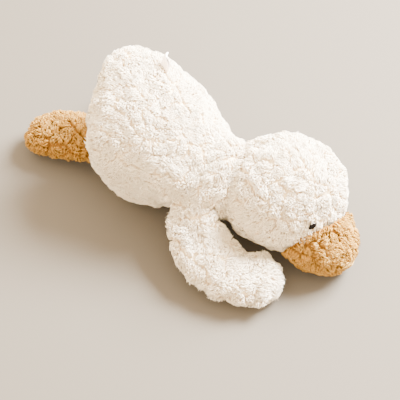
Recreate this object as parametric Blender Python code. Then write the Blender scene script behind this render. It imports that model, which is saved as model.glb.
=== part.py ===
"""A stuffed plush duckling, lying on its belly with its right side turned up.

Every sewn cover is a shell of its own, cut like the cloth panels it is sewn from, around its own
stuffing. Metres; +X towards the head, +Y to the left, +Z up. The origin is on the surface that
the duckling lies on, in the middle of its flattened belly.
"""

import math

import bmesh
import bpy
from mathutils import Matrix, Vector

# Driving sizes, in metres and degrees.
BODY_LENGTH = 0.139          # seat to neck joint
BODY_RADIUS = 0.076          # at the fattest place, to each side
BODY_DEPTH_SHARE = 0.93      # back to belly, as a share of side to side
SEAT_SLANT = 0.36            # how far the tail end leans back past the belly end
TAIL_RISE = 0.025            # how far the stub of a tail stands up at the seat
LYING_ROLL = 26.0            # the right side is turned up by this much
BODY_PRESS = 0.016           # the surface it lies on flattens the body by this much
REST_TO_NECK = 0.098         # middle of the flattened belly to the neck joint
NECK_SIDE = -0.019           # and sideways to it, less than 0 to the duckling's right
NECK_RADIUS = 0.038
COLLAR = 0.006               # the body's front end is this much wider than the neck, all round
NECK_STEP = 0.009            # neck joint to the head's surface
HEAD_RADIUS = 0.058
HEAD_PRESS = 0.002           # the surface flattens the cheek by this much
HEAD_YAW = -22.0             # the face is turned to the duckling's right
HEAD_PITCH = 32.0            # and down on to the bill
HEAD_ROLL = 24.0
BILL_HALF_WIDTH = 0.0385
BILL_HALF_HEIGHT = 0.0335
BILL_REACH = 0.051           # bill centre to bill tip
BILL_SUNK = 0.018            # the bill's centre is this far inside the head's surface
BILL_LIFT = 5.0              # the deck pushes it up by this much
EYE_TO_BILL = 0.0121         # along the head's surface, from the bill's root to the eye
EYE_ROUND_BILL = 39.4        # degrees round the bill, from its side towards its top
EYE_RADIUS = 0.0055
EYE_DOME = 0.0034
EYE_STEM_RADIUS = 0.0017
WASHER_RADIUS = 0.0070
WASHER_THICKNESS = 0.0016
WING_LENGTH = 0.142          # along its middle, from the root
WING_HALF_WIDTH = 0.029
WING_HALF_THICKNESS = 0.017
WING_ROOT_HALF_WIDTH = 0.020
WING_ROOT_RADIUS = 0.0085    # the root is pinched flat into the side seam
WING_SQUEEZE = 0.70          # the left wing's width, pressed under the cheek
FOOT_LENGTH = 0.086
FOOT_HALF_WIDTH = 0.029
FOOT_HALF_THICKNESS = 0.0185
FOOT_TIP_SHARE = 0.62        # of its full width, at the tip
FOOT_ROOT_HALF_WIDTH = 0.024
FOOT_ROOT_RADIUS = 0.0115
PELLET_BAG_RADIUS = 0.062
LABEL_WIDTH = 0.013
LABEL_HEIGHT = 0.011
LABEL_THICKNESS = 0.0008

COVER = 0.0045               # cloth with its pile pressed flat
LIMB_COVER = 0.0030
SEAM_GAP = 0.0006            # between two covers at a seam
FILL_GAP = 0.0006            # between a cover and its stuffing
JOINT_GAP = 0.0008           # between a root or the neck and the hollow that it turns in
SEAT_GAP = 0.0009            # between the head and what is sewn on to it
HOLE_GAP = 0.0005            # around an eye's stem and its washer

for leftover in list(bpy.data.objects):
    bpy.data.objects.remove(leftover, do_unlink=True)


# Materials, one for each kind of stuff.
def make_material(name, colour, roughness):
    material = bpy.data.materials.new(name)
    material.use_nodes = True
    shader = material.node_tree.nodes["Principled BSDF"]
    shader.inputs["Base Color"].default_value = (*colour, 1.0)
    shader.inputs["Roughness"].default_value = roughness
    shader.inputs["Metallic"].default_value = 0.0
    material.diffuse_color = (*colour, 1.0)
    return material


CREAM_PILE = make_material("cream_pile", (0.86, 0.80, 0.71), 0.95)
TAN_PILE = make_material("tan_pile", (0.70, 0.47, 0.24), 0.95)
FIBRE_FILL = make_material("fibre_fill", (0.88, 0.88, 0.86), 1.0)
PELLET_CLOTH = make_material("pellet_cloth", (0.62, 0.60, 0.55), 0.9)
EYE_PLASTIC = make_material("eye_plastic", (0.012, 0.010, 0.010), 0.12)
WASHER_PLASTIC = make_material("washer_plastic", (0.75, 0.75, 0.72), 0.45)
LABEL_SATIN = make_material("label_satin", (0.88, 0.87, 0.86), 0.5)

# Where the neck joint, the rolled body and the turned head are.
NECK = Vector((REST_TO_NECK, NECK_SIDE, BODY_RADIUS - BODY_PRESS))
HEAD = Vector((REST_TO_NECK + NECK_STEP + HEAD_RADIUS, 0.0, HEAD_RADIUS - HEAD_PRESS))
BODY_FRAME = (
    Matrix.Translation(NECK)
    @ Matrix.Rotation(math.asin(NECK_SIDE / BODY_LENGTH), 4, "Z")
    @ Matrix.Rotation(math.radians(-LYING_ROLL), 4, "X")
)
HEAD_FRAME = (
    Matrix.Translation(HEAD)
    @ Matrix.Rotation(math.radians(HEAD_YAW), 4, "Z")
    @ Matrix.Rotation(math.radians(HEAD_PITCH), 4, "Y")
    @ Matrix.Rotation(math.radians(-HEAD_ROLL), 4, "X")
)
UP = Vector((0.0, 0.0, 1.0))


def laid_down(point):
    """The surface underneath presses anything flat that would reach below it."""
    return Vector((point.x, point.y, max(point.z, 0.0)))


# Shapes. A skin is the closed outside of a stuffed shape: rings of points between two poles.
def curve_through(points, count):
    """count vectors, evenly along a smooth curve through the points."""
    out = []
    last = len(points) - 1
    for step in range(count):
        place = last * step / (count - 1)
        i = min(int(place), last - 1)
        t = place - i
        p, q = points[i], points[i + 1]
        before = points[i - 1] if i > 0 else p * 2 - q
        after = points[i + 2] if i + 2 <= last else q * 2 - p
        bend = (before * 2 - p * 5 + q * 4 - after) * t + (p * 3 - before - q * 3 + after) * t * t
        out.append(p + ((q - before) + bend) * (t / 2))
    return out


def round_angles(count):
    return [2 * math.pi * j / count for j in range(count)]


def make_skin(first_pole, rings, last_pole):
    """A closed skin in triangles. A face knows its ring, 0 at the first pole, and its slice."""
    skin = bmesh.new()
    ring_tag = skin.faces.layers.int.new("ring")
    slice_tag = skin.faces.layers.int.new("slice")
    start = skin.verts.new(first_pole)
    loops = [[skin.verts.new(point) for point in ring] for ring in rings]
    end = skin.verts.new(last_pole)
    slices = len(rings[0])
    for j in range(slices):
        k = (j + 1) % slices
        corners = [(start, loops[0][k], loops[0][j])]
        for near, far in zip(loops, loops[1:]):
            corners.append((near[j], near[k], far[k], far[j]))
        corners.append((end, loops[-1][j], loops[-1][k]))
        for i, verts in enumerate(corners):
            face = skin.faces.new(verts)
            face[ring_tag] = i
            face[slice_tag] = j
    bmesh.ops.triangulate(skin, faces=skin.faces[:])
    if skin.calc_volume(signed=True) < 0:
        bmesh.ops.reverse_faces(skin, faces=skin.faces[:])
    skin.normal_update()
    skin.verts.index_update()
    return skin


def add_object(name, shape, material):
    """Turns a bmesh into a named object with a material."""
    mesh = bpy.data.meshes.new(name)
    shape.to_mesh(mesh)
    shape.free()
    mesh.shade_smooth()
    mesh.set_sharp_from_angle(angle=math.radians(40))
    mesh.materials.append(material)
    piece = bpy.data.objects.new(name, mesh)
    bpy.context.scene.collection.objects.link(piece)
    return piece


def sew_panel(name, skin, covers, wall, material):
    """The part of a skin that one cloth panel covers, as a closed shell of that thickness."""
    ring_tag = skin.faces.layers.int["ring"]
    slice_tag = skin.faces.layers.int["slice"]
    faces = [f for f in skin.faces if covers(f[ring_tag], f[slice_tag])]
    own = set(faces)
    panel = bmesh.new()
    outside, inside = {}, {}
    for vert in sorted({v for f in faces for v in f.verts}, key=lambda v: v.index):
        place = vert.co.copy()
        mine = [f for f in vert.link_faces if f in own]
        if any(sum(f in own for f in edge.link_faces) == 1 for edge in vert.link_edges):
            inwards = sum((f.calc_center_median() for f in mine), Vector()) / len(mine) - place
            inwards -= vert.normal * inwards.dot(vert.normal)
            place += inwards.normalized() * (SEAM_GAP / 2)
        outside[vert] = panel.verts.new(place)
        inside[vert] = panel.verts.new(place - vert.normal * wall)
    for face in faces:
        panel.faces.new([outside[v] for v in face.verts])
        panel.faces.new([inside[v] for v in reversed(face.verts)])
        for loop in face.loops:
            if sum(f in own for f in loop.edge.link_faces) == 1:
                a, b = loop.vert, loop.link_loop_next.vert
                panel.faces.new((outside[b], outside[a], inside[a], inside[b]))
    return add_object(name, panel, material)


def stuff(name, skin, wall, material=FIBRE_FILL):
    """The stuffing of a skin, up to the inside of its covers."""
    filling = skin.copy()
    for vert, source in zip(filling.verts, skin.verts):
        vert.co = source.co - source.normal * (wall + FILL_GAP)
    return add_object(name, filling, material)


def cutter(name, shape):
    """An object that is only there to cut others."""
    piece = add_object(name, shape, FIBRE_FILL)
    piece.hide_render = True
    piece.display_type = "WIRE"
    return piece


def cut(piece, tool, operation="DIFFERENCE"):
    boolean = piece.modifiers.new(tool.name, "BOOLEAN")
    boolean.operation = operation
    boolean.solver = "EXACT"
    boolean.object = tool


def turned(frame, profile, slices):
    """A shape of revolution about the frame's Z: (radius, height) points from pole to pole."""
    rings = [
        [frame @ Vector((r * math.cos(a), r * math.sin(a), h)) for a in round_angles(slices)]
        for r, h in profile[1:-1]
    ]
    return make_skin(frame @ Vector((0, 0, profile[0][1])), rings,
                     frame @ Vector((0, 0, profile[-1][1])))


def ball(frame, radius, rings, slices):
    profile = [
        (radius * math.sin(math.pi * i / rings), -radius * math.cos(math.pi * i / rings))
        for i in range(rings + 1)
    ]
    return turned(frame, profile, slices)


def sausage(frame, half_length, radius):
    """A round-ended bar along the frame's Z, half_length without its round ends."""
    quarter = [math.radians(a) for a in (90, 60, 30, 0)]
    low = [(radius * math.cos(a), -half_length - radius * math.sin(a)) for a in quarter]
    high = [(r, -h) for r, h in reversed(low)]
    return turned(frame, low + high, 16)


def frame_along(place, axis):
    """A frame at a place whose Z runs along the axis."""
    return Matrix.Translation(place) @ axis.to_track_quat("Z", "Y").to_matrix().to_4x4()


# Body: two back panels, a belly panel and a seat panel around fibre and a bag of pellets.
BODY_SLICES = 24
BODY_RINGS = 16
SIDE_SEAM_SLICE = 7           # the side seams are this many slices from the middle of the back
SEAT_RINGS = 4                # the seat panel takes this many rings
BODY_PROFILE = [              # share of the length from the seat, share of the fattest radius
    (0.00, 0.28), (0.03, 0.49), (0.08, 0.70), (0.15, 0.87), (0.24, 0.98), (0.35, 1.00),
    (0.47, 0.97), (0.59, 0.90), (0.71, 0.80), (0.82, 0.69),
    (0.92, (NECK_RADIUS + COLLAR * 1.4) / BODY_RADIUS),
    (0.97, (NECK_RADIUS + COLLAR) / BODY_RADIUS),
    (1.00, (NECK_RADIUS + JOINT_GAP) / BODY_RADIUS),
]


def on_body(share, angle, fatness=None):
    """A point of the body's surface; the angle runs from the middle of the back to the left."""
    if fatness is None:
        after = next(i for i, point in enumerate(BODY_PROFILE) if point[0] >= share)
        (s0, f0), (s1, f1) = BODY_PROFILE[after - 1:after + 1]
        fatness = f0 + (f1 - f0) * (share - s0) / (s1 - s0)
    radius = BODY_RADIUS * fatness
    left = radius * math.sin(angle)
    dorsal = radius * math.cos(angle) * BODY_DEPTH_SHARE
    back = BODY_LENGTH * (1 - share) + SEAT_SLANT * dorsal * (1 - share) ** 2
    tail = TAIL_RISE * max(0.0, math.cos(angle)) ** 3 * (1 - share) ** 4
    return laid_down(BODY_FRAME @ Vector((-back, left, dorsal + tail)))


def body_skin():
    stations = curve_through([Vector(point) for point in BODY_PROFILE], BODY_RINGS)
    rings = [
        [on_body(share, angle, fatness) for angle in round_angles(BODY_SLICES)]
        for share, fatness in stations
    ]
    seat_end = BODY_FRAME @ Vector((-BODY_LENGTH - 0.0015, 0.0, 0.0))
    neck_end = BODY_FRAME @ Vector((0.0, 0.0, 0.0))
    return make_skin(seat_end, rings, neck_end)


def in_seat(ring):
    return ring < SEAT_RINGS


def in_belly(ring, piece):
    return not in_seat(ring) and SIDE_SEAM_SLICE <= piece < BODY_SLICES - SIDE_SEAM_SLICE


skin = body_skin()
body_covers = [
    sew_panel("back_panel_left", skin,
              lambda r, s: not in_seat(r) and s < SIDE_SEAM_SLICE, COVER, CREAM_PILE),
    sew_panel("back_panel_right", skin,
              lambda r, s: not in_seat(r) and s >= BODY_SLICES - SIDE_SEAM_SLICE, COVER,
              CREAM_PILE),
    sew_panel("belly_panel", skin, in_belly, COVER, CREAM_PILE),
    sew_panel("seat_panel", skin, lambda r, s: in_seat(r), COVER, CREAM_PILE),
]
body_filling = stuff("body_filling", skin, COVER)
pellet_bag = stuff("pellet_bag", skin, COVER, PELLET_CLOTH)

bag_frame = BODY_FRAME @ Matrix.Translation((-BODY_LENGTH, 0.0, -BODY_RADIUS * 0.45))
bag_room = cutter("bag_room", ball(bag_frame, PELLET_BAG_RADIUS + FILL_GAP, 14, 20))
bag_shape = cutter("bag_shape", ball(bag_frame, PELLET_BAG_RADIUS, 14, 20))
cut(body_filling, bag_room)
cut(pellet_bag, bag_shape, "INTERSECT")

# Neck: a round wad in a tube of cloth, held in the body's collar and in the hollow of the head.
NECK_AXIS = (HEAD - NECK).normalized()
neck_frame = frame_along(NECK, NECK_AXIS)
neck_skin = ball(neck_frame, NECK_RADIUS, 12, 20)
sew_panel("neck_cover", neck_skin, lambda r, s: 2 <= r <= 9, COVER, CREAM_PILE)
stuff("neck_filling", neck_skin, COVER)
neck_room = cutter("neck_room", ball(neck_frame, NECK_RADIUS + JOINT_GAP, 18, 28))
for piece in body_covers + [body_filling]:
    cut(piece, neck_room)

# Head: two sides and a strip over the crown around a ball of fibre.
HEAD_RINGS = 16               # from the right cheek to the left cheek
HEAD_SLICES = 24              # around, from straight ahead over the crown
CROWN_STRIP = range(6, 10)    # the rings that the strip takes
CROWN_SLICES = 14             # and how far it runs, from the bill to the neck


def head_skin():
    rings = []
    for i in range(1, HEAD_RINGS):
        across = math.pi * i / HEAD_RINGS
        rings.append([
            laid_down(HEAD_FRAME @ (Vector((
                math.sin(across) * math.cos(a), -math.cos(across), math.sin(across) * math.sin(a)
            )) * HEAD_RADIUS))
            for a in round_angles(HEAD_SLICES)
        ])
    cheeks = [laid_down(HEAD_FRAME @ Vector((0.0, side * HEAD_RADIUS, 0.0))) for side in (-1, 1)]
    return make_skin(cheeks[0], rings, cheeks[1])


def in_crown(ring, piece):
    return ring in CROWN_STRIP and piece < CROWN_SLICES


skin = head_skin()
head_sides = {
    "right": sew_panel(
        "head_side_right", skin, lambda r, s: r < HEAD_RINGS // 2 and not in_crown(r, s),
        COVER, CREAM_PILE),
    "left": sew_panel(
        "head_side_left", skin, lambda r, s: r >= HEAD_RINGS // 2 and not in_crown(r, s),
        COVER, CREAM_PILE),
}
crown_strip = sew_panel("head_crown_strip", skin, in_crown, COVER, CREAM_PILE)
head_filling = stuff("head_filling", skin, COVER)
for piece in (*head_sides.values(), crown_strip, head_filling):
    cut(piece, neck_room)

# Bill: an upper and a lower cover around its own stuffing, sewn on to the front of the head.
BILL_RINGS = 6
BILL_SLICES = 16
BILL_FRAME = HEAD_FRAME @ Matrix.Rotation(math.radians(-BILL_LIFT), 4, "Y")


def on_bill(lean, angle):
    """A point of the bill, lean away from its tip, in the bill's frame."""
    return Vector((
        HEAD_RADIUS - BILL_SUNK + BILL_REACH * math.cos(lean),
        BILL_HALF_WIDTH * math.sin(lean) * math.cos(angle),
        BILL_HALF_HEIGHT * math.sin(lean) * math.sin(angle),
    ))


def root_lean(angle):
    """Where the bill meets the head: halving the range until the point is on the head."""
    low, high = 0.0, math.pi * 0.75
    for _ in range(30):
        middle = (low + high) / 2
        if on_bill(middle, angle).length > HEAD_RADIUS + SEAT_GAP:
            low = middle
        else:
            high = middle
    return low


def bill_skin():
    rings = []
    roots = [on_bill(root_lean(a), a) for a in round_angles(BILL_SLICES)]
    for i in range(1, BILL_RINGS + 1):
        rings.append([
            laid_down(BILL_FRAME @ on_bill(root_lean(a) * i / BILL_RINGS, a))
            for a in round_angles(BILL_SLICES)
        ])
    straight = Vector((HEAD_RADIUS + SEAT_GAP, 0.0, 0.0))
    for share in (0.7, 0.35):
        rings.append([
            laid_down(BILL_FRAME @ (straight.lerp(root, share).normalized() * straight.length))
            for root in roots
        ])
    tip = laid_down(BILL_FRAME @ on_bill(0.0, 0.0))
    return make_skin(tip, rings, BILL_FRAME @ straight)


skin = bill_skin()
sew_panel("bill_upper", skin, lambda r, s: r < BILL_RINGS and s < BILL_SLICES // 2,
          LIMB_COVER, TAN_PILE)
sew_panel("bill_lower", skin, lambda r, s: r < BILL_RINGS and s >= BILL_SLICES // 2,
          LIMB_COVER, TAN_PILE)
stuff("bill_filling", skin, LIMB_COVER)


# Eyes: domed black beads whose stems pass through the cover into a washer.
WASHER_DEPTH = COVER + 0.0014   # head surface to the washer's outer face
STEM_LENGTH = WASHER_DEPTH + WASHER_THICKNESS + 0.0012
BEAD_LIFT = 0.0004              # bead's rim over the cloth


def washer(frame, inner, outer, thickness):
    shape = bmesh.new()
    section = [(inner, 0.0), (outer, 0.0), (outer, -thickness), (inner, -thickness)]
    loops = [
        [shape.verts.new(frame @ Vector((r * math.cos(a), r * math.sin(a), h)))
         for a in round_angles(16)]
        for r, h in section
    ]
    for near, far in zip(loops, loops[1:] + loops[:1]):
        for j in range(16):
            k = (j + 1) % 16
            shape.faces.new((near[j], near[k], far[k], far[j]))
    bmesh.ops.recalc_face_normals(shape, faces=shape.faces[:])
    return shape


for name, side in (("right", -1), ("left", 1)):
    around = math.radians(EYE_ROUND_BILL)
    root = on_bill(root_lean(around), around)
    lean = math.atan2(root.yz.length, root.x) + EYE_TO_BILL / HEAD_RADIUS
    outwards = BILL_FRAME.to_3x3() @ Vector((
        math.cos(lean),
        side * math.sin(lean) * root.y / root.yz.length,
        math.sin(lean) * root.z / root.yz.length,
    ))
    eye_frame = frame_along(HEAD + outwards * HEAD_RADIUS, outwards)
    bead = [
        (0.0, -STEM_LENGTH), (EYE_STEM_RADIUS, -STEM_LENGTH), (EYE_STEM_RADIUS, BEAD_LIFT),
        (EYE_RADIUS, BEAD_LIFT), (EYE_RADIUS * 0.86, BEAD_LIFT + EYE_DOME * 0.52),
        (EYE_RADIUS * 0.5, BEAD_LIFT + EYE_DOME * 0.88), (0.0, BEAD_LIFT + EYE_DOME),
    ]
    add_object("eye_" + name, turned(eye_frame, bead, 14), EYE_PLASTIC)
    washer_frame = eye_frame @ Matrix.Translation((0.0, 0.0, -WASHER_DEPTH))
    add_object("eye_washer_" + name,
               washer(washer_frame, EYE_STEM_RADIUS + HOLE_GAP, WASHER_RADIUS, WASHER_THICKNESS),
               WASHER_PLASTIC)
    hole = EYE_STEM_RADIUS + HOLE_GAP
    pocket = WASHER_RADIUS + HOLE_GAP
    depth = STEM_LENGTH + HOLE_GAP
    cut(head_sides[name], cutter("eye_hole_" + name, turned(
        eye_frame, [(0.0, -depth), (hole, -depth), (hole, depth), (0.0, depth)], 14)))
    cut(head_filling, cutter("washer_pocket_" + name, turned(
        eye_frame, [(0.0, -depth), (pocket, -depth), (pocket, depth), (0.0, depth)], 16)))


# Limbs: two covers around stuffing, pinched flat at the root, where they turn in the body.
LIMB_RINGS = 8                # from the root to the round tip
LIMB_SLICES = 12
LIMB_FLARE = 0.45             # share of the length in which a limb grows to its full size


def walk(points, shares):
    """Places at these shares of the length of a smooth curve through the points."""
    fine = curve_through(points, 20 * len(points))
    lengths = [0.0]
    for p, q in zip(fine, fine[1:]):
        lengths.append(lengths[-1] + (q - p).length)
    places = []
    for share in shares:
        goal = min(max(share, 0.0), 1.0) * lengths[-1]
        i = max(k for k in range(len(fine) - 1) if lengths[k] <= goal)
        past = (goal - lengths[i]) / (lengths[i + 1] - lengths[i])
        places.append(fine[i].lerp(fine[i + 1], past))
    return places


def oval(middle, along, face, wide, thick):
    """A ring across the limb: wide to the sides, thick towards its faces."""
    side = face.cross(along).normalized()
    face = along.cross(side).normalized()
    return [
        laid_down(middle + side * (wide * math.cos(a)) + face * (thick * math.sin(a)))
        for a in round_angles(LIMB_SLICES)
    ]


def limb_skin(hinge, points, root_size, size, tip_share=1.0):
    """A stuffed limb along the points, whose pinched root turns about the hinge.

    root_size, size: half width and half thickness, at the root and where it is full
    tip_share: how much of the full width is left before the tip rounds off
    """
    length = sum((q - p).length for p, q in zip(points, points[1:]))
    round_end = size[0] * tip_share / length
    stations = [((1 - round_end) * i / LIMB_RINGS, 1.0) for i in range(LIMB_RINGS)]
    for angle in (0, 30, 60):
        a = math.radians(angle)
        stations.append((1 - round_end * (1 - math.sin(a)), math.cos(a)))
    first, second, tip = walk(points, (0.0, 0.04, 1.0))
    start = second - first
    start = (start - hinge * start.dot(hinge)).normalized()
    root_face = start.cross(hinge)
    if root_face.z < 0:
        root_face.negate()
    wide, thick = root_size
    rings = []
    for angle in (60, 30):
        a = math.radians(angle)
        rings.append(oval(first - start * thick * math.sin(a), start, root_face,
                          wide - thick * (1 - math.cos(a)), thick * math.cos(a)))
    for share, narrowing in stations:
        before, middle, after = walk(points, (share - 0.03, share, share + 0.03))
        full = min(1.0, share / LIMB_FLARE)
        full = full * full * (3 - 2 * full)
        along = start.lerp((after - before).normalized(), min(1.0, 1.6 * full))
        taper = 1 - (1 - tip_share) * max(0.0, (share - LIMB_FLARE) / (1 - LIMB_FLARE)) ** 2
        rings.append(oval(middle, along, root_face.lerp(UP, full),
                          (wide + (size[0] - wide) * full) * taper * narrowing,
                          (thick + (size[1] - thick) * full) * narrowing))
    return make_skin(first - start * thick, rings, laid_down(tip))


def add_limb(names, skin, material):
    """Upper cover, lower cover and stuffing."""
    upper, lower, filling = names
    sew_panel(upper, skin, lambda r, s: s < LIMB_SLICES // 2, LIMB_COVER, material)
    sew_panel(lower, skin, lambda r, s: s >= LIMB_SLICES // 2, LIMB_COVER, material)
    stuff(filling, skin, LIMB_COVER)


def make_room(name, hinge, root, root_size, pieces):
    """The hollow that a limb's root turns in."""
    wide, thick = root_size
    room = cutter(name, sausage(frame_along(root, hinge), wide - thick + JOINT_GAP,
                                thick + JOINT_GAP))
    for piece in pieces:
        cut(piece, room)


# Wings: the right one hangs over the side and lies forward; the left one lies round the cheek.
WING_SUNK = 0.0010            # the pinched root lies this deep in the body's side
WING_TO_HEAD = 0.0010         # between the left wing's root and the head
WING_SEAM_SLOPE = 20.0        # the seam's front end is nearer to the back
SIDE_ANGLE = 2 * math.pi * SIDE_SEAM_SLICE / BODY_SLICES
CHEEK_GAP = 0.0035            # between the left wing and the cheek it lies round
FORWARD = Vector((1.0, 0.0, 0.0))
# Places past the root: wing lengths forward and left of it, half thicknesses over the surface.
RIGHT_WING = [
    (0.13, -0.08, 2.2),
    (0.25, -0.12, 1.5),
    (0.37, -0.15, 1.18),
    (0.49, -0.13, 1.1),
    (0.65, -0.06, 1.05),
    (0.74, -0.01, 1.0),
]
LEFT_WING = (122, 108, 94, 80, 67)    # degrees round the head from straight ahead



def wing_root(share, side):
    """The middle of a root sewn in at this share of the body's length, and its hinge."""
    seam = on_body(share, side * SIDE_ANGLE)
    outwards = seam - BODY_FRAME @ Vector((-BODY_LENGTH * (1 - share), 0.0, 0.0))
    outwards.x = 0.0
    outwards.normalize()
    slope = math.radians(WING_SEAM_SLOPE)
    hinge = FORWARD * math.cos(slope) + FORWARD.cross(outwards) * side * math.sin(slope)
    return seam + outwards * (WING_ROOT_RADIUS - WING_SUNK), hinge


def wing_share():
    """As far forward as the left root stays clear of the head, which lies on that side."""
    low, high = 0.5, 1.0
    for _ in range(30):
        middle = (low + high) / 2
        root, hinge = wing_root(middle, 1)
        front = root + hinge * (WING_ROOT_HALF_WIDTH - WING_ROOT_RADIUS)
        if (front - HEAD).length > HEAD_RADIUS + WING_ROOT_RADIUS + WING_TO_HEAD:
            low = middle
        else:
            high = middle
    return low


wing_hinges = {}
for name, side in (("right", -1), ("left", 1)):
    root, hinge = wing_root(wing_share(), side)
    if side < 0:
        size = (WING_HALF_WIDTH, WING_HALF_THICKNESS)
        route = [
            Vector((root.x + x * WING_LENGTH, root.y + y * WING_LENGTH, z * WING_HALF_THICKNESS))
            for x, y, z in RIGHT_WING
        ]
    else:
        size = (WING_HALF_WIDTH * WING_SQUEEZE, WING_HALF_THICKNESS)
        height = WING_HALF_THICKNESS * 1.05
        turn = max(
            math.sqrt((HEAD_RADIUS + CHEEK_GAP) ** 2
                      - (HEAD.z - height - size[1] * math.sin(a)) ** 2) + size[0] * math.cos(a)
            for a in round_angles(LIMB_SLICES * 2)
        )
        route = [Vector((root.x + 0.006, root.y + 0.016, height))] + [
            Vector((HEAD.x + turn * math.cos(math.radians(a)), turn * math.sin(math.radians(a)),
                    height))
            for a in LEFT_WING
        ]
    root_size = (WING_ROOT_HALF_WIDTH, WING_ROOT_RADIUS)
    skin = limb_skin(hinge, [root] + route, root_size, size)
    add_limb(("wing_upper_" + name, "wing_under_" + name, "wing_filling_" + name), skin,
             CREAM_PILE)
    make_room("armhole_" + name, hinge, root, root_size, body_covers + [body_filling])
    wing_hinges[name] = (root, hinge * side)

# Feet: the right one trails behind, the left one is turned out sideways behind the seat.
FOOT_SUNK = 0.0075            # the pinched root lies this deep in the body's end
# The seam's share of the body's length and its degrees round from the middle of the back, then
# places past the root as for the wings, in foot lengths.
FEET = {
    "right": (0.03, -172, [(-0.26, 0.02, 1.35), (-0.60, -0.04, 1.15), (-0.98, -0.24, 1.0)]),
    "left": (0.06, 106, [(-0.13, 0.13, 1.25), (-0.26, 0.34, 1.05), (-0.30, 0.62, 1.0)]),
}
foot_hinges = {}
for name, (share, angle, places) in FEET.items():
    root = on_body(share, math.radians(angle)) - FORWARD * (FOOT_ROOT_RADIUS - FOOT_SUNK)
    route = [
        Vector((root.x + x * FOOT_LENGTH, root.y + y * FOOT_LENGTH, z * FOOT_HALF_THICKNESS))
        for x, y, z in places
    ]
    hinge = UP.cross(route[0] - root).normalized()
    root_size = (FOOT_ROOT_HALF_WIDTH, FOOT_ROOT_RADIUS)
    skin = limb_skin(hinge, [root] + route, root_size, (FOOT_HALF_WIDTH, FOOT_HALF_THICKNESS),
                     FOOT_TIP_SHARE)
    add_limb(("foot_top_" + name, "foot_sole_" + name, "foot_filling_" + name), skin, TAN_PILE)
    make_room("leg_hole_" + name, hinge, root, root_size,
              body_covers + [body_filling, pellet_bag])
    foot_hinges[name] = (root, -hinge)


# Care label: a folded ribbon standing in the back seam, bare.
LABEL_SHARE = 0.40
LABEL_STAND = 0.0008
LABEL_FOLD = 0.0012           # between its two leaves


def care_label():
    foot = on_body(LABEL_SHARE, 0.0)
    along = (on_body(LABEL_SHARE + 0.05, 0.0) - on_body(LABEL_SHARE - 0.05, 0.0)).normalized()
    across = along.cross(BODY_FRAME.to_3x3() @ UP).normalized()
    outwards = across.cross(along)
    leaf, gap = LABEL_THICKNESS, LABEL_FOLD / 2
    outline = [(-gap - leaf, 0.0), (-gap, 0.0), (-gap, LABEL_HEIGHT - leaf),
               (gap, LABEL_HEIGHT - leaf), (gap, 0.0), (gap + leaf, 0.0),
               (gap + leaf, LABEL_HEIGHT), (-gap - leaf, LABEL_HEIGHT)]
    shape = bmesh.new()
    ends = [
        [shape.verts.new(foot + along * end + across * a + outwards * (h + LABEL_STAND))
         for a, h in outline]
        for end in (-LABEL_WIDTH / 2, LABEL_WIDTH / 2)
    ]
    count = len(outline)
    for j in range(count):
        k = (j + 1) % count
        shape.faces.new((ends[0][j], ends[0][k], ends[1][k], ends[1][j]))
    shape.faces.new(ends[0])
    shape.faces.new(list(reversed(ends[1])))
    bmesh.ops.recalc_face_normals(shape, faces=shape.faces[:])
    return shape


add_object("care_label", care_label(), LABEL_SATIN)


# Joints: an empty on each axis carries what turns with it.
def hang_on(name, place, axis, pieces, carrier=None):
    """An empty at the joint, its Z along the axis, that takes the pieces with it."""
    frame = frame_along(place, axis)
    joint = bpy.data.objects.new(name, None)
    joint.matrix_basis = frame
    joint.empty_display_size = 0.02
    bpy.context.scene.collection.objects.link(joint)
    if carrier:
        joint.parent = carrier
        joint.matrix_parent_inverse = carrier.matrix_basis.inverted()
    for piece in pieces:
        piece.parent = joint
        piece.matrix_parent_inverse = frame.inverted()
    return joint


def pieces_named(*starts):
    return [piece for piece in bpy.data.objects if piece.name.startswith(starts)
            and not piece.hide_render]


head_nod = hang_on("head_nod", NECK, NECK_AXIS.cross(UP), pieces_named("neck_"))
hang_on("head_twist", NECK, -NECK_AXIS, pieces_named("head_side", "head_crown", "head_filling",
                                                      "eye_", "bill_"), head_nod)
for name in ("right", "left"):
    hang_on("wing_raise_" + name, *wing_hinges[name],
            pieces_named("wing_upper_" + name, "wing_under_" + name, "wing_filling_" + name))
    hang_on("foot_swing_" + name, *foot_hinges[name],
            pieces_named("foot_top_" + name, "foot_sole_" + name, "foot_filling_" + name))
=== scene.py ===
"""A stuffed plush duckling in cream curly pile, lying on its belly with its head on one cheek.

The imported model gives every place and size. The sections follow the toy from the body outwards:
body, neck, head, bill, wings and feet, each with the wad of fibre that fills it, and then the
eyes, the bag of pellets and the label.
"""

import math

import bmesh
import bpy
import numpy as np
from mathutils import Matrix, Vector, kdtree
from mathutils.bvhtree import BVHTree


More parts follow.
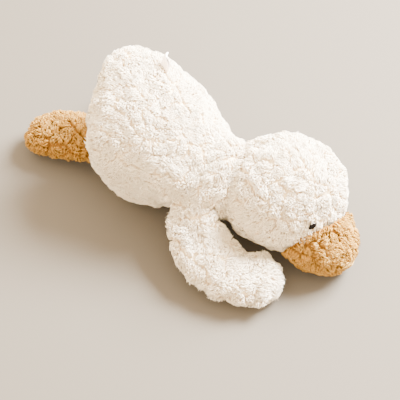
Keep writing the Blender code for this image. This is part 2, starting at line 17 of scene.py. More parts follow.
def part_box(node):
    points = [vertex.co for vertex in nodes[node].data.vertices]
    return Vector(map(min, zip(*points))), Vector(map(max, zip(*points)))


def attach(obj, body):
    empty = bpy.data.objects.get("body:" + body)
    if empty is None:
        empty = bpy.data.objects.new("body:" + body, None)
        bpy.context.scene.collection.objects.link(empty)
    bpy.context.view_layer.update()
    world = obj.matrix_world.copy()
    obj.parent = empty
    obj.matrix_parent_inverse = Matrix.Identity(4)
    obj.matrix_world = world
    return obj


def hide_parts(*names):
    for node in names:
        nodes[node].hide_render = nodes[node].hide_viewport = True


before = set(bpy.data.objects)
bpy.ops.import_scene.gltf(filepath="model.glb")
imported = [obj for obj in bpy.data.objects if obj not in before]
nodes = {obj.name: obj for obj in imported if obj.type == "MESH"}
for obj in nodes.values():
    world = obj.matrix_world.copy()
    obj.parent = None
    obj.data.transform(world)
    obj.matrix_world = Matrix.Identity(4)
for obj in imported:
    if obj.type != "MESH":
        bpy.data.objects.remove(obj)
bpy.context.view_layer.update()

# Camera, floor and light: a look down from 50 degrees, a sheet of paper to lie on, and soft
# daylight that comes over the back of the head. The light is strong, so the paper's own tone is
# set low to look pale in it.
VIEW_HEIGHT = math.radians(50)
VIEW_TURN = math.radians(30)
VIEW_DISTANCE = 1.3
look_at = Vector((0.0704, -0.0113, 0.0))
look_from = Vector((math.sin(VIEW_TURN) * math.cos(VIEW_HEIGHT),
                    -math.cos(VIEW_TURN) * math.cos(VIEW_HEIGHT), math.sin(VIEW_HEIGHT)))
bpy.ops.object.camera_add(location=look_at + look_from * VIEW_DISTANCE)
camera = bpy.context.object
camera.rotation_euler = look_from.to_track_quat("Z", "Y").to_euler()
camera.data.lens = 117
camera.data.sensor_width = 36
bpy.context.scene.camera = camera


def from_hex(code):
    """An sRGB hex colour as the linear colour that a shader takes."""
    shares = [int(code[i:i + 2], 16) / 255 for i in (0, 2, 4)]
    return (*(s / 12.92 if s <= 0.04045 else ((s + 0.055) / 1.055) ** 2.4 for s in shares), 1.0)


def new_material(name, **surface):
    """A material with these values set on its Principled shader."""
    material = bpy.data.materials.new(name)
    material.use_nodes = True
    shader = material.node_tree.nodes["Principled BSDF"]
    for socket, value in surface.items():
        shader.inputs[socket.replace("_", " ")].default_value = value
    return material


bpy.ops.object.select_all(action="DESELECT")
bpy.ops.mesh.primitive_plane_add(size=8, location=(0, 0, 0))
floor = bpy.context.object
floor.name = "paper_floor"
floor.data.materials.append(new_material("pale_paper", Base_Color=from_hex("4D473F"),
                                         Roughness=0.9))

world = bpy.data.worlds.new("daylight")
bpy.context.scene.world = world
world.use_nodes = True
world.node_tree.nodes["Background"].inputs["Color"].default_value = from_hex("FFE7C4")
world.node_tree.nodes["Background"].inputs["Strength"].default_value = 7.2
window_place = Vector((0.68, 0.93, 1.15))
bpy.ops.object.light_add(type="AREA", location=window_place)
window = bpy.context.object
window.name = "window"
window.data.size = 0.8
window.data.energy = 590
window.data.color = from_hex("FFFEFA")[:3]
window.rotation_euler = (window_place - look_at).to_track_quat("Z", "Y").to_euler()


# Body: four panels of knitted cloth with a curled polyester pile, sewn round fibre and the bag of
# pellets that weighs the seat down. The stuffing blows the cloth out, the seams hold it back, and
# the pile is thousands of small curls that gather into soft tufts.
CLOTH = 0.0010                # the knitted backing
PILE_HEIGHT = 0.0044
CURL_WIDTH = 0.00085
CURL_SPACING = 0.00105
CURL_ROOT = 0.0008            # below the face of the cloth
CURL_BEND = 0.58              # the share of its length at which a curl is thickest
TUFT_SPACING = 0.0090         # curls gather into tufts this far apart
TUFT_RISE = 0.0015            # the cloth between tufts lies this much lower
LUMPS = 0.0009                # how far the stuffing makes it rise and fall
LUMP_TURN = 210               # radians in a metre, for lumps about 25 mm apart
EDDY_TURN = 130               # the same, for eddies in the pile about 40 mm apart
SWELL = 0.0020                # how far the stuffing may push the cloth out
PRESSURE = 12                 # of the stuffing on the cloth
PRESSURE_STEPS = 20
SEAM = 0.002                  # the cloth is held this near to a seam
COVER_REACH = 0.0060          # cloth further than this from every cover is none of theirs
CURLS_OVER_FLOOR = 0.0004
CLOTH_OVER_FLOOR = 0.0003
EDDY_LEAN = 0.45              # how far eddies, tufts and curls lean off the way it is brushed
TUFT_LEAN = 0.30
CURL_LEAN = 0.42
PILE_PATCH = 0.0357           # patches of slightly different tone are about this wide
WAD_CELL = 0.005              # the wads are this coarse
WAD_INSET = 0.0015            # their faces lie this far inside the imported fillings


def only(piece):
    """Selects one object and makes it active."""
    bpy.ops.object.select_all(action="DESELECT")
    piece.select_set(True)
    bpy.context.view_layer.objects.active = piece


def places(mesh):
    found = np.empty(len(mesh.vertices) * 3)
    mesh.vertices.foreach_get("co", found)
    return found.reshape(-1, 3)


def put_places(mesh, points):
    mesh.vertices.foreach_set("co", np.ascontiguousarray(points, dtype=np.float32).ravel())
    mesh.update()


def normals(mesh):
    found = np.empty(len(mesh.vertices) * 3)
    mesh.vertices.foreach_get("normal", found)
    return found.reshape(-1, 3)


def joined_copy(name, sources, fine):
    """One closed mesh round copies of these parts, in cells this fine, without the shells that
    the remesh leaves in the gaps between them."""
    bpy.ops.object.select_all(action="DESELECT")
    for source in sources:
        copy = bpy.data.objects.new(name, nodes[source].data.copy())
        bpy.context.scene.collection.objects.link(copy)
        copy.select_set(True)
        bpy.context.view_layer.objects.active = copy
    whole = bpy.context.object
    if len(sources) > 1:
        bpy.ops.object.join()
    whole.data.materials.clear()
    remesh = whole.modifiers.new("Remesh", "REMESH")
    remesh.mode = "VOXEL"
    remesh.voxel_size = fine
    bpy.ops.object.modifier_apply(modifier="Remesh")
    shape = bmesh.new()
    shape.from_mesh(whole.data)
    top = max(shape.verts, key=lambda point: point.co.z)
    kept, edge = {top}, [top]
    while edge:
        for line in edge.pop().link_edges:
            for point in line.verts:
                if point not in kept:
                    kept.add(point)
                    edge.append(point)
    bmesh.ops.delete(shape, geom=[v for v in shape.verts if v not in kept], context="VERTS")
    shape.to_mesh(whole.data)
    shape.free()
    return whole


def distances(points, covers):
    """How far each point is from each of these covers."""
    finders = [BVHTree.FromPolygons([v.co for v in nodes[cover].data.vertices],
                                    [p.vertices for p in nodes[cover].data.polygons])
               for cover in covers]
    return np.array([[finder.find_nearest(point)[3] for finder in finders] for point in points])


def stuffed(name, covers, fillings, behind, deep, fine, mouth):
    """The cloth of a stuffed form, this deep under the tips of its pile. It is blown out by the
    pressure of the stuffing, and its seams hold it back. What is behind closes its open end; a
    tube with ends this wide has their inner side taken off instead."""
    skin = joined_copy(name, covers + fillings + behind, fine)
    inner = set()
    if mouth:
        finder = BVHTree.FromPolygons([v.co for v in skin.data.vertices],
                                      [p.vertices for p in skin.data.polygons])
        inner = {face.index for face in skin.data.polygons
                 if finder.ray_cast(face.center + face.normal * 0.001, face.normal, mouth)[0]}
    ways = normals(skin.data)
    start = places(skin.data) - ways * SWELL
    put_places(skin.data, start)
    near = np.sort(distances(start, covers), axis=1)
    seam = skin.vertex_groups.new(name="seam")
    if len(covers) > 1:
        at_seam = np.flatnonzero(near[:, 1] - near[:, 0] < SEAM)
        seam.add(at_seam.tolist(), 1.0, "REPLACE")
    cloth = skin.modifiers.new("Cloth", "CLOTH")
    cloth.settings.quality = 4
    cloth.settings.vertex_group_mass = "seam"
    cloth.settings.use_pressure = True
    cloth.settings.uniform_pressure_force = PRESSURE
    cloth.settings.effector_weights.gravity = 0
    cloth.point_cache.frame_start = 1
    cloth.point_cache.frame_end = PRESSURE_STEPS
    for step in range(1, PRESSURE_STEPS + 1):
        bpy.context.scene.frame_set(step)
    bpy.ops.object.modifier_apply(modifier="Cloth")
    bpy.context.scene.frame_set(1)
    # No place ends further in than it started, or further off than the swelling may reach.
    moved = places(skin.data) - start
    out = np.sum(moved * ways, axis=1, keepdims=True)
    moved += ways * (np.clip(out, 0, None) - out)
    far = np.linalg.norm(moved, axis=1, keepdims=True)
    put_places(skin.data, start + moved * np.minimum(1.0, SWELL / np.maximum(far, 1e-9)))
    shape = bmesh.new()
    shape.from_mesh(skin.data)
    bmesh.ops.delete(shape, geom=[face for face in shape.faces if face.index in inner],
                     context="FACES")
    shape.to_mesh(skin.data)
    shape.free()
    put_places(skin.data, places(skin.data) - normals(skin.data) * (deep - SWELL * 0.5))
    finer = skin.modifiers.new("Finer", "SUBSURF")
    finer.levels = finer.render_levels = 1
    bpy.ops.object.modifier_apply(modifier="Finer")
    return skin


def make_curl():
    """One curl of pile, standing on the origin: three-sided, thin at its tip and closed."""
    bpy.ops.object.select_all(action="DESELECT")
    bpy.ops.mesh.primitive_cone_add(vertices=3, radius1=0.5, radius2=0.0, depth=1.0,
                                    location=(0, 0, 0.5))
    curl = bpy.context.object
    bpy.ops.object.transform_apply(location=True)
    bpy.ops.object.mode_set(mode="EDIT")
    bpy.ops.mesh.select_all(action="SELECT")
    bpy.ops.mesh.bisect(plane_co=(0, 0, CURL_BEND), plane_no=(0, 0, 1))
    bpy.ops.mesh.select_all(action="SELECT")
    bpy.ops.mesh.quads_convert_to_tris()
    bpy.ops.object.mode_set(mode="OBJECT")
    shape = places(curl.data)
    height = shape[:, 2]
    # Its width goes from nine tenths at the root to eleven at the bend, and to a point.
    full = np.interp(height, (0, CURL_BEND, 1), (0.9, 1.1, 0.0))
    straight = np.maximum(1 - height, 1e-6)
    shape[:, :2] *= np.where(height < 0.999, full / straight, 0.0)[:, None]
    put_places(curl.data, shape)
    faces = np.array([list(face.vertices) for face in curl.data.polygons])
    bpy.data.objects.remove(curl)
    return shape, faces


CURL_SHAPE, CURL_FACES = make_curl()
SIDES_FROM = 0.18             # up a curl's cell of the finish map, over its root's end
CELL_MARGIN = 0.1             # on each side of a cell


def curl_map():
    """Where each corner of a curl's faces lies in its own cell of a finish map: the three sides
    on top of each other from root to tip, and the root's end below them."""
    column = np.round(np.arctan2(CURL_SHAPE[:, 1], CURL_SHAPE[:, 0]) / (2 * math.pi / 3)) % 3
    found = []
    for face in CURL_FACES:
        rise = CURL_SHAPE[face, 2]
        if rise.max() < 0.01:
            found += [(0.0, 0.0), (1.0, 0.0), (0.5, SIDES_FROM - 0.04)]
            continue
        held = {int(column[v]) for v in face if CURL_SHAPE[v, 2] < 0.99}
        left = next(c for c in held if (c + 1) % 3 in held)
        found += [(0.5 if high > 0.99 else float(column[v] != left),
                   SIDES_FROM + (1 - SIDES_FROM) * high) for v, high in zip(face, rise)]
    return np.array(found)


CURL_MAP = curl_map()
CLOTH_MAP = np.array([(0, 0), (1, 0), (1, 1), (0, 1)])


def unit(vectors):
    return vectors / np.maximum(np.linalg.norm(vectors, axis=1, keepdims=True), 1e-12)


def spread(mesh, spacing, rng):
    """Places on a mesh about this far apart, and the way out of the mesh at each."""
    mesh.calc_loop_triangles()
    corners = np.empty(len(mesh.loop_triangles) * 3, dtype=np.int32)
    mesh.loop_triangles.foreach_get("vertices", corners)
    corners = corners.reshape(-1, 3)
    points, ways = places(mesh), normals(mesh)
    a, b, c = (points[corners[:, i]] for i in range(3))
    area = np.linalg.norm(np.cross(b - a, c - a), axis=1) / 2
    face = rng.choice(len(area), int(area.sum() / spacing ** 2), p=area / area.sum())
    shares = rng.dirichlet((1, 1, 1), len(face))
    at = sum(points[corners[face, i]] * shares[:, i:i + 1] for i in range(3))
    return at, unit(sum(ways[corners[face, i]] * shares[:, i:i + 1] for i in range(3)))


def tufted(skin, seed, spacing, rise):
    """Draws the cloth down between the tufts, and returns the hearts of the tufts and the way
    out of the cloth at each."""
    # Many places are tried in turn, and each heart taken rules out the rest close to it.
    rng = np.random.default_rng(seed)
    heart, up = spread(skin.data, spacing * 0.5, rng)
    chosen = kdtree.KDTree(len(heart))
    taken = []
    for i, place in enumerate(heart):
        chosen.insert(place, i)
    chosen.balance()
    free = np.ones(len(heart), dtype=bool)
    for i in range(len(heart)):
        if free[i]:
            taken.append(i)
            for _, other, _ in chosen.find_range(heart[i], spacing * rng.uniform(0.65, 1.0)):
                free[other] = False
    heart, up = heart[taken], up[taken]
    tree = kdtree.KDTree(len(heart))
    for i, place in enumerate(heart):
        tree.insert(place, i)
    tree.balance()
    # The cloth falls away from each heart, and lies lowest where tufts meet.
    points, ways = places(skin.data), normals(skin.data)
    far = np.array([tree.find(place)[2] for place in points])[:, None]
    low = np.clip(far / (spacing * 0.62), 0, 1) ** 2
    lumps = sum(np.sin(points @ rng.normal(0, LUMP_TURN, (3, 1)) + rng.uniform(0, 6))
                for _ in range(5))
    put_places(skin.data, points - ways * (rise * low - LUMPS * lumps / 2))
    return tree, heart, up


def pile_on(mesh, tufts, seed, height, width, spacing, flow, gather=0.35, keep=None):
    """The curls of pile on a panel, as points, triangles, and each point's height and tint.

    flow is the way that the pile is brushed, gather is how far its curls are drawn to the peaks
    of their tufts, and keep(places) says which roots are wanted. Tufts that cross a seam are
    drawn alike on both sides of it.
    """
    tree, heart, heart_up = tufts
    rng = np.random.default_rng(seed)
    root, up = spread(mesh, spacing, rng)
    if keep is not None:
        wanted = keep(root)
        root, up = root[wanted], up[wanted]
    count = len(root)
    own = np.array([tree.find(place)[1] for place in root])

    of_tuft = np.random.default_rng(7)
    eddies = sum(np.sin(heart @ of_tuft.normal(0, EDDY_TURN, (3, 3)) + of_tuft.uniform(0, 6, 3))
                 for _ in range(3))
    brushed = np.asarray(flow) + eddies * EDDY_LEAN + of_tuft.normal(0, TUFT_LEAN, (len(heart), 3))
    brushed -= heart_up * np.sum(brushed * heart_up, axis=1, keepdims=True)
    peak = (heart + heart_up * height * of_tuft.uniform(0.7, 1.15, (len(heart), 1))
            + unit(brushed) * height * 0.8)
    tuft_tint = of_tuft.random(len(heart))
    tuft_reach = of_tuft.uniform(0.75, 1.35, (len(heart), 1))

    # Each curl leans with its tuft and a little its own way, and bends over at its middle.
    loose = rng.normal(0, CURL_LEAN, (count, 3))
    loose -= up * np.sum(loose * up, axis=1, keepdims=True)
    reach = height * rng.uniform(0.7, 1.1, (count, 1)) * tuft_reach[own]
    tip = root + up * reach * 0.75 + (brushed[own] * 0.8 + loose) * reach
    drawn = np.clip(gather * rng.uniform(0.4, 1.3, (count, 1)), 0, 0.9)
    tip += (peak[own] - tip) * drawn
    middle = root + up * reach * 0.8 + (tip - root) * 0.25
    start = root - up * CURL_ROOT

    along = CURL_SHAPE[:, 2][None, :, None]
    spine = (start[:, None] * (1 - along) ** 2 + middle[:, None] * 2 * along * (1 - along)
             + tip[:, None] * along ** 2)
    # The curl's own shape is laid along that bend, and waves as it goes.
    across = unit(np.cross(up, rng.normal(0, 1, (count, 3))))
    other = unit(np.cross(tip - start, across))
    turn = rng.uniform(0, 2 * math.pi, (count, 1, 1))
    wave = np.sin(turn + along * 5.0) * along * width * 0.5
    wide = width * rng.uniform(0.7, 1.3, (count, 1, 1))
    curls = (spine + across[:, None] * (CURL_SHAPE[:, 0][None, :, None] * wide + wave)
             + other[:, None] * CURL_SHAPE[:, 1][None, :, None] * wide).reshape(-1, 3)
    curls[:, 2] = np.maximum(curls[:, 2], CURLS_OVER_FLOOR)
    step = len(CURL_SHAPE)
    faces = (CURL_FACES[None] + np.arange(count)[:, None, None] * step).reshape(-1, 3)
    heights = np.tile(CURL_SHAPE[:, 2], count)
    tints = np.repeat(tuft_tint[own] * 0.5 + rng.random(count) * 0.5, step)
    return curls, faces, heights, tints


def lay_out(mesh, backing, curls):
    """Gives each face of the backing and each curl a cell of its own in the finish map."""
    cells = math.ceil(math.sqrt(backing + curls))
    corner = np.vstack((np.tile(CLOTH_MAP, (backing, 1)), np.tile(CURL_MAP, (curls, 1))))
    cell = np.concatenate((np.repeat(np.arange(backing), len(CLOTH_MAP)),
                           np.repeat(np.arange(curls), len(CURL_MAP)) + backing))
    at = (np.stack((cell % cells, cell // cells), axis=1) + CELL_MARGIN
          + corner * (1 - 2 * CELL_MARGIN)) / cells
    finish_map = mesh.uv_layers.new(name="OFBake")
    finish_map.data.foreach_set("uv", at.astype(np.float32).ravel())


def sewn(skin, part_of, number, cover, tufts, **pile):
    """The part of a skin that this cover takes, with a backing of cloth and its pile."""
    name = "plush_" + cover
    shape = bmesh.new()
    shape.from_mesh(skin.data)
    shape.faces.ensure_lookup_table()
    away = [face for face in shape.faces if part_of[face.index] != number]
    bmesh.ops.delete(shape, geom=away, context="FACES")
    mesh = bpy.data.meshes.new(name)
    shape.to_mesh(mesh)
    shape.free()
    curls, faces, heights, tints = pile_on(mesh, tufts, **pile)

    piece = bpy.data.objects.new(name, mesh)
    bpy.context.scene.collection.objects.link(piece)
    only(piece)
    backing = piece.modifiers.new("Backing", "SOLIDIFY")
    backing.thickness = CLOTH
    backing.offset = -1
    bpy.ops.object.modifier_apply(modifier="Backing")
    cloth_points = places(mesh)
    cloth_points[:, 2] = np.maximum(cloth_points[:, 2], CLOTH_OVER_FLOOR)
    first = len(cloth_points)
    cloth_faces = [tuple(face.vertices) for face in mesh.polygons]
    whole = bpy.data.meshes.new(name)
    whole.from_pydata(
        np.vstack((cloth_points, curls)).tolist(), [],
        cloth_faces + (faces + first).tolist())
    # The backing cloth takes height 0, and so the root colour: painted shade between the tufts.
    for attribute, own, base in (("height", heights, 0.0), ("tint", tints, 0.5)):
        layer = whole.attributes.new(attribute, "FLOAT", "POINT")
        layer.data.foreach_set("value", np.concatenate((np.full(first, base), own)))
    lay_out(whole, len(cloth_faces), len(curls) // len(CURL_SHAPE))
    whole.shade_smooth()
    piece.data = whole
    bpy.data.meshes.remove(mesh)
    return piece


def add_node(tree, kind, links=None, **settings):
    """Adds a node. Settings are its own properties, or its inputs where no property has the
    name; links are {input: (node, output)}."""
    node = tree.nodes.new(kind)
    for name, value in settings.items():
        if hasattr(node, name):
            setattr(node, name, value)
        else:
            node.inputs[name.replace("_", " ")].default_value = value
    for socket, (source, output) in (links or {}).items():
        tree.links.new(source.outputs[output], node.inputs[socket])
    return node


def pile_material(name, root, shade, tip, glow):
    """Curled polyester pile: darker towards its roots, where the root colour is painted shade down
    among the curls, a little uneven from lock to lock and in wide patches, with the soft edge
    light of fine fibre."""
    material = new_material(
        name, Roughness=0.88, Sheen_Weight=0.35, Sheen_Roughness=0.45, Sheen_Tint=tip,
        Specular_IOR_Level=0.2, Subsurface_Weight=glow, Subsurface_Scale=0.005,
        Subsurface_Radius=(1.0, 0.9, 0.8))
    tree = material.node_tree
    shader = tree.nodes["Principled BSDF"]
    height = add_node(tree, "ShaderNodeAttribute", attribute_name="height")
    tint = add_node(tree, "ShaderNodeAttribute", attribute_name="tint")
    # Painted shade: the root colour darkens each curl towards its root, and the cloth between the
    # curls.
    depth = add_node(tree, "ShaderNodeMapRange", {"Value": (height, "Fac")}, From_Min=0.05,
                     From_Max=0.75)
    place = add_node(tree, "ShaderNodeTexCoord")
    patches = add_node(tree, "ShaderNodeTexNoise", {"Vector": (place, "Object")},
                       Scale=1 / PILE_PATCH, Detail=3.0)
    uneven = add_node(tree, "ShaderNodeMix", {"A": (tint, "Fac"), "B": (patches, "Fac")},
                      data_type="FLOAT", Factor=0.5)
    tips = add_node(tree, "ShaderNodeMix", data_type="RGBA")
    tips.inputs["A"].default_value = shade
    tips.inputs["B"].default_value = tip
    tree.links.new(uneven.outputs["Result"], tips.inputs["Factor"])
    whole = add_node(tree, "ShaderNodeMix", data_type="RGBA")
    tree.links.new(depth.outputs["Result"], whole.inputs["Factor"])
    whole.inputs["A"].default_value = root
    tree.links.new(tips.outputs["Result"], whole.inputs["B"])
    tree.links.new(whole.outputs["Result"], shader.inputs["Base Color"])
    return material


# Undyed pile looks white where light falls on it, and warm cream where light has come through. The
# darker, warmer cream given to its roots is painted warm shade.
cream_pile = pile_material("cream_curly_pile", from_hex("EBD2AA"), from_hex("F7E6C8"),
                           from_hex("FFF4DE"), 0.5)


def pushed(points, pushes):
    """Moves points as a hand would: each push is (place, reach, how far)."""
    moved = points.copy()
    for place, reach, way in pushes:
        near = np.exp(-np.sum((points - place) ** 2, axis=1, keepdims=True) / reach ** 2)
        moved += near * np.array(way)
    return moved


# Loose polyester fibre: matt and white all through.
fibre = new_material("polyester_fibre", Base_Color=from_hex("F4F2EE"), Roughness=0.95)


def wad(body, filling, reshaped, share):
    """A wad of white polyester fibre, this share of the room in the covers that hold it."""
    piece = joined_copy("wad_" + filling, (filling,), WAD_CELL)
    inside = places(piece.data) - normals(piece.data) * WAD_INSET
    middle = inside.mean(axis=0)
    inside = middle + (inside - middle) * share
    put_places(piece.data, reshaped(inside) if reshaped else inside)
    piece.data.shade_smooth()
    piece.data.materials.append(fibre)
    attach(piece, body)
    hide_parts(filling)


def cover_with_pile(body, covers, fillings, seed, deep, fine, material, slot, fill, mouth=0,
                    behind=(), over=0, reshaped=None, tuft=TUFT_SPACING, rise=TUFT_RISE,
                    share=0.92, **pile):
    """Sews the covers of one stuffed form round its wad, and puts each on its body in its
    cover's place. over is how far its cloth runs over the covers behind it."""
    for filling in fillings:
        if "_filling" in filling:
            wad(body, filling, reshaped, share)
    skin = stuffed(body + "_skin", covers, fillings, behind, deep, fine, mouth)
    far = distances([face.center for face in skin.data.polygons], covers + behind)
    far[:, len(covers):] += over
    part_of = np.where(far.min(axis=1) < COVER_REACH, far.argmin(axis=1), -1)
    if reshaped:
        put_places(skin.data, reshaped(places(skin.data)))
    tufts = tufted(skin, seed, tuft, rise)
    for number, cover in enumerate(covers):
        piece = sewn(skin, part_of, number, cover, tufts, seed=seed + number, **pile)
        piece.data.materials.append(material)
        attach(piece, body)
        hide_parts(cover)
    bpy.data.objects.remove(skin)


cream = dict(material=cream_pile, slot="cream_pile", deep=0.0030, fine=0.005,
             height=PILE_HEIGHT, width=CURL_WIDTH, spacing=CURL_SPACING)
body_covers = ("back_panel_left", "back_panel_right", "belly_panel", "seat_panel")
body_pushes = [
    ((-0.022, 0.014, 0.133), 0.030, (-0.0067, -0.0003, 0.0026)),  # the seat's peak, drawn back
    ((0.086, 0.004, 0.099), 0.035, (-0.0016, -0.0019, -0.0032)),  # the back, next to the neck
    ((0.054, 0.018, 0.111), 0.030, (-0.0013, -0.0014, -0.0023)),  # the middle of the back
    ((0.018, -0.078, 0.044), 0.035, (0.0, 0.0065, 0.0045)),       # the side, tucked in
    ((0.074, -0.064, 0.074), 0.028, (0.0, -0.0090, 0.0060)),      # the shoulder, full
]
cover_with_pile("torso", body_covers, ("body_filling", "pellet_bag"), seed=11, fill=0.7,
                behind=("neck_cover", "neck_filling"), over=0.005, flow=(-0.5, -0.2, -0.4),
                reshaped=lambda points: pushed(points, body_pushes), **cream)

# Neck: a wad of fibre in a short tube of the same cloth, sewn between body and head. It swells
# out to meet both, and most at the shoulder.
neck_pushes = [((0.104, -0.056, 0.072), 0.024, (0.0, -0.0080, 0.0020))]
cover_with_pile("neck", ("neck_cover",), ("neck_filling",), seed=21, fill=0.6, mouth=0.09,
                flow=(-0.5, -0.2, -0.4), reshaped=lambda points: pushed(points, neck_pushes),
                **{**cream, "deep": -0.0010})

# Head: two sides and a strip over the crown, pressed wider than it is high. The pile is kept off
# the eyes, and closes over each in a slit along the line between them.
HEAD_WIDER = 0.10             # of its width
HEAD_BACK = 0.008             # nearer to the neck
EYE_SLIT = (0.0056, 0.0036)   # half of the bare oval round each eye
BILL_SEAM = 0.0036            # no curl grows this near to the bill
head_covers = ("head_side_right", "head_side_left", "head_crown_strip")
head_middle = np.array((0.1665, 0.0, 0.0567))
across_face = np.array((0.866, 0.5, 0.0))
# The eyes' places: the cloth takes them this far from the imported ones.
eyes = {"right": np.array((0.0019, -0.0005, -0.0028)),
        "left": np.array((-0.0050, -0.0020, 0.0))}
for side in eyes:
    eyes[side] += sum(np.array(corner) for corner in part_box("eye_" + side)) / 2
# The way that each slit runs.
slants = {"right": np.array((0.342, 0.822, 0.455)), "left": np.array((0.822, 0.342, -0.455))}


def pressed_wide(points):
    """The head as its own weight spreads it, drawn in a little beside the right wing."""
    off = (points - head_middle) @ across_face
    wide = points + across_face * (off * HEAD_WIDER - HEAD_BACK)[:, None]
    return pushed(wide, [((0.146, -0.056, 0.034), 0.022, (-0.0012, 0.0026, 0.0025))])


def full_cheeked(points):
    """The same, full beside the bill."""
    return pushed(pressed_wide(points), [((0.199, -0.042, 0.053), 0.012, (0.0020, -0.0030, 0.0))])


def small_cornered(points):
    """The bill, which moves with the head and is drawn in at its corner."""
    return pushed(pressed_wide(points), [((0.200, -0.044, 0.052), 0.012, (-0.0022, 0.0024, 0.0))])


def on_show(roots):
    """No curl grows over the eyes, or on the cloth that the bill is sewn over."""
    off = ((roots - head_middle) @ across_face + HEAD_BACK) / (1 + HEAD_WIDER)
    as_cut = roots - across_face * (off * HEAD_WIDER - HEAD_BACK)[:, None]
    bill = ("bill_upper", "bill_lower", "bill_filling")
    clear = distances(as_cut, bill).min(axis=1) > BILL_SEAM
    for side, eye in eyes.items():
        off = roots - eye
        along = off @ slants[side]
        beside = np.linalg.norm(off - along[:, None] * slants[side], axis=1)
        clear &= (along / EYE_SLIT[0]) ** 2 + (beside / EYE_SLIT[1]) ** 2 > 1
    return clear


cover_with_pile("head", head_covers, ("head_filling",), seed=31, fill=0.8,
                flow=(-0.5, 0.1, -0.2), keep=on_show, reshaped=full_cheeked, **cream)

# Bill: an upper and a lower cover round their own stuffing, sewn on to the face. Its pile is dyed
# tan, and is longer, thicker and more gathered than the cream, which gives it darker hollows. The
# dark brown of its roots is painted shade in those hollows.
tan_pile = pile_material("tan_curly_pile", from_hex("7A5014"), from_hex("956722"),
                         from_hex("AA7D32"), 0.2)
tan = dict(material=tan_pile, slot="tan_pile", deep=0.0015, fine=0.0045, height=0.0048,
           width=0.00095, spacing=0.00115, tuft=0.0070, rise=0.0012, gather=0.5)
cover_with_pile("head", ("bill_upper", "bill_lower"), ("bill_filling",), seed=41, fill=0.7,
                behind=head_covers + ("head_filling",), over=0.001, flow=(0.3, -0.3, -0.2),
                reshaped=small_cornered, share=0.84, **tan)

# Wings: an upper and an under cover of cream pile round fibre, pinched flat at the side seam.
# Their pile is the longest, and it stands off the rim.
wing_pushes = [
    ((0.150, -0.095, 0.030), 0.060, (0.0026, 0.0015, 0.0)),       # the right wing, forwards
    ((0.082, -0.071, 0.075), 0.030, (0.0, 0.0120, -0.0090)),      # its root, drawn to the seam
    ((0.147, -0.070, 0.033), 0.020, (0.0020, -0.0035, -0.0034)),  # its edge, off the cheek
    ((0.190, 0.078, 0.020), 0.030, (-0.0125, -0.0070, 0.0)),      # the left wing's tip, inwards
]
for side, seed in (("right", 51), ("left", 61)):
    cover_with_pile("wing_" + side, ("wing_upper_" + side, "wing_under_" + side),
                    ("wing_filling_" + side,), seed=seed, fill=0.5, flow=(0.4, -0.2, -0.2),
                    reshaped=lambda points: pushed(points, wing_pushes),
                    **{**cream, "deep": -0.0005, "fine": 0.004, "height": 0.0052})

# Feet: a top and a sole of the same tan cloth as the bill, sewn round fibre. The right one is
# bent towards the seat's middle, and the outer side of its tip is full and low.
foot_pushes = [((-0.090, -0.025, 0.020), 0.045, (-0.0046, 0.0079, 0.0)),
               ((-0.108, -0.036, 0.026), 0.022, (-0.0015, -0.0055, -0.0035))]
for side, seed in (("right", 71), ("left", 81)):
    cover_with_pile("foot_" + side, ("foot_top_" + side, "foot_sole_" + side),
                    ("foot_filling_" + side,), seed=seed, fill=0.5, flow=(-0.4, -0.1, -0.2),
                    reshaped=lambda points: pushed(points, foot_pushes), **tan)

# Eyes: small oval black beads of moulded acrylic, whose stems pass through the cloth into a washer
# behind it. They sit deep in the pile, which lets a slanted slit of each be seen and shades it,
# so that it hardly shines.
BEAD = (0.0045, 0.0021, 0.0026)   # half its length, width and thickness
STEM = 3.2                    # times half the thickness, from the bead's back
WASHER_BACK = 3.75            # the same, from the bead's middle
BACK_OF_BEAD = -0.88          # faces below this, on the round bead, take the stem
sunk = {"right": 0.0016, "left": -0.0006}   # into the pile
eye_plastic = new_material("moulded_black_acrylic", Base_Color=from_hex("060303"), Roughness=0.3,
                           Specular_IOR_Level=0.06)
for side in ("right", "left"):
    slant = Vector(slants[side])
    way = Vector(unit((eyes[side] - head_middle)[None])[0])
    bpy.ops.object.select_all(action="DESELECT")
    bpy.ops.mesh.primitive_uv_sphere_add(segments=32, ring_count=16, radius=1)
    bead = bpy.context.object
    bead.name = "bead_" + side
    bpy.ops.object.mode_set(mode="EDIT")
    bpy.ops.mesh.select_all(action="DESELECT")
    bpy.ops.object.mode_set(mode="OBJECT")
    for face in bead.data.polygons:
        face.select = face.center.z < BACK_OF_BEAD
    bpy.ops.object.mode_set(mode="EDIT")
    bpy.ops.mesh.extrude_region_move(TRANSFORM_OT_translate={"value": (0, 0, -STEM)})
    bpy.ops.object.mode_set(mode="OBJECT")
    long = (slant - way * slant.dot(way)).normalized()
    turn = Matrix((long, way.cross(long), way)).transposed().to_4x4()
    bead.matrix_world = (Matrix.Translation(Vector(eyes[side]) - way * sunk[side]) @ turn
                         @ Matrix.Diagonal((*BEAD, 1)))
    bpy.ops.object.transform_apply(location=True, rotation=True, scale=True)
    bpy.ops.object.shade_smooth()
    bead.data.materials.append(eye_plastic)
    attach(bead, "head")
    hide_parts("eye_" + side)

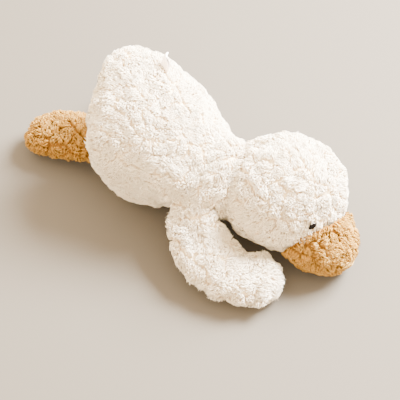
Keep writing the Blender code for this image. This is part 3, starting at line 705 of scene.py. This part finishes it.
# Washers: pressed on to the beads' stems behind the cloth, moulded in polypropylene, which looks
# milky and half matt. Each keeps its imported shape, and sits where its bead's stem ends.
washer_plastic = new_material(
    "moulded_polypropylene", Base_Color=from_hex("E6E4DE"), Roughness=0.4, IOR=1.49,
    Subsurface_Weight=0.2, Subsurface_Scale=0.001)
for side in ("right", "left"):
    node = nodes["eye_washer_" + side]
    way = unit((eyes[side] - head_middle)[None])[0]
    washer = bpy.data.objects.new("washer_" + side, node.data.copy())
    bpy.context.scene.collection.objects.link(washer)
    shape = bmesh.new()
    shape.from_mesh(washer.data)
    bmesh.ops.remove_doubles(shape, verts=shape.verts, dist=0.00001)
    shape.to_mesh(washer.data)
    shape.free()
    stem_end = eyes[side] - way * (sunk[side] + BEAD[2] * WASHER_BACK)
    here = (places(washer.data).min(axis=0) + places(washer.data).max(axis=0)) / 2
    put_places(washer.data, places(washer.data) + stem_end - here)
    washer.data.materials.clear()
    washer.data.materials.append(washer_plastic)
    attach(washer, "head")
    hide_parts(node.name)

# Pellet bag: a pouch of undyed plain-woven cotton, lumpy with the pellets that weigh the seat
# down. It is matt, with a check of threads drawn coarser than real ones, so that it shows.
COTTON_THREAD = 0.0014        # about this from one thread to the next
POUCH_SLACK = 0.0022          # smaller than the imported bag
PELLETS = 0.0045              # from one lump to the next
PELLET_RISE = 0.0005
cotton = new_material("plain_woven_cotton", Roughness=0.9, Sheen_Weight=0.15)
tree = cotton.node_tree
shader = tree.nodes["Principled BSDF"]
place = add_node(tree, "ShaderNodeTexCoord")
threads = [add_node(tree, "ShaderNodeTexWave", {"Vector": (place, "Object")}, wave_type="BANDS",
                    bands_direction=way, Scale=1 / (COTTON_THREAD * math.pi), Distortion=0.4)
           for way in ("X", "Y")]
weave = add_node(tree, "ShaderNodeMath", {0: (threads[0], "Fac"), 1: (threads[1], "Fac")},
                 operation="MULTIPLY")
colour = add_node(tree, "ShaderNodeValToRGB", {"Fac": (weave, "Value")})
colour.color_ramp.elements[0].color = from_hex("B9AF9A")
colour.color_ramp.elements[1].color = from_hex("D8D0BD")
raised = add_node(tree, "ShaderNodeBump", {"Height": (weave, "Value")}, Distance=0.0002)
tree.links.new(colour.outputs["Color"], shader.inputs["Base Color"])
tree.links.new(raised.outputs["Normal"], shader.inputs["Normal"])
pouch = joined_copy("pellet_pouch", ("pellet_bag",), 0.003)
inside = places(pouch.data) - normals(pouch.data) * POUCH_SLACK
lumps = PELLET_RISE * np.sin(inside * 2 * math.pi / PELLETS).prod(axis=1, keepdims=True)
put_places(pouch.data, pushed(inside + normals(pouch.data) * lumps, body_pushes))
pouch.data.shade_smooth()
pouch.data.materials.append(cotton)
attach(pouch, "torso")
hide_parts("pellet_bag")

# Label: a blank ribbon of woven satin, folded over and caught by its two ends in the back seam,
# and twisted by wear. Its threads, drawn coarser than real ones, give it a soft shine.
LABEL_WIDTH = 0.0105
LABEL_STAND = 0.0105          # out of the cloth
LABEL_SEWN = 0.0045           # below the pile
LABEL_TWIST = math.radians(62)
LABEL_LEAN = 0.004            # along the seam, at its fold
LABEL_BOW = 0.0010
LABEL_GAP = 0.0007            # half the space between its two layers, where they are sewn
LABEL_SUNK = 0.0055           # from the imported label's middle down to the face of the pile
LABEL_THICKNESS = 0.00025
SATIN_THREAD = 0.0010         # about this from one thread to the next
satin = new_material("woven_satin", Roughness=0.38, Sheen_Weight=0.3, Anisotropic=0.5)
tree = satin.node_tree
shader = tree.nodes["Principled BSDF"]
threads = add_node(tree, "ShaderNodeUVMap", uv_map="ribbon")
weft = add_node(tree, "ShaderNodeTexWave", {"Vector": (threads, "UV")}, wave_type="BANDS",
                bands_direction="Y", Scale=1 / (SATIN_THREAD * math.pi), Distortion=0.6)
colour = add_node(tree, "ShaderNodeValToRGB", {"Fac": (weft, "Fac")})
colour.color_ramp.elements[0].color = from_hex("EFE3E2")
colour.color_ramp.elements[1].color = from_hex("FBF5F4")
raised = add_node(tree, "ShaderNodeBump", {"Height": (weft, "Fac")}, Distance=0.00005)
tree.links.new(colour.outputs["Color"], shader.inputs["Base Color"])
tree.links.new(raised.outputs["Normal"], shader.inputs["Normal"])

bpy.ops.object.select_all(action="DESELECT")
bpy.ops.mesh.primitive_grid_add(x_subdivisions=8, y_subdivisions=40, size=2)
label = bpy.context.object
label.name = "folded_label"
flat = places(label.data)
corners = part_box("care_label")
seam_way = Vector((0.952, -0.230, -0.201))
up_way = Vector((0.280, 0.393, 0.876))
face_way = seam_way.cross(up_way)
foot = (corners[0] + corners[1]) / 2 - up_way * LABEL_SUNK
tall = LABEL_STAND + LABEL_SEWN
for point, (u, v, _) in zip(label.data.vertices, flat):
    rise = math.cos(v * math.pi / 2) ** 0.55 if abs(v) < 1 else 0.0
    apart = LABEL_GAP * math.sin(v * math.pi / 2) + LABEL_GAP * math.sin(v * math.pi)
    turned = LABEL_TWIST * rise ** 2
    level = rise * tall - LABEL_SEWN
    beside = u * LABEL_WIDTH / 2
    bow = LABEL_BOW * (1 - u * u) * rise
    side_way = seam_way * math.cos(turned) + face_way * math.sin(turned)
    front_way = face_way * math.cos(turned) - seam_way * math.sin(turned)
    point.co = (foot + up_way * level + side_way * beside + front_way * (apart + bow)
                - seam_way * LABEL_LEAN * rise ** 2)
label.data.uv_layers.new(name="ribbon")
for loop in label.data.loops:
    u, v, _ = flat[loop.vertex_index]
    label.data.uv_layers["ribbon"].data[loop.index].uv = (u * LABEL_WIDTH / 2, v * tall)
only(label)
ribbon = label.modifiers.new("Ribbon", "SOLIDIFY")
ribbon.thickness = LABEL_THICKNESS
ribbon.offset = 0
bpy.ops.object.modifier_apply(modifier="Ribbon")
label.data.shade_smooth()
label.data.materials.append(satin)
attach(label, "torso")
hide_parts("care_label")
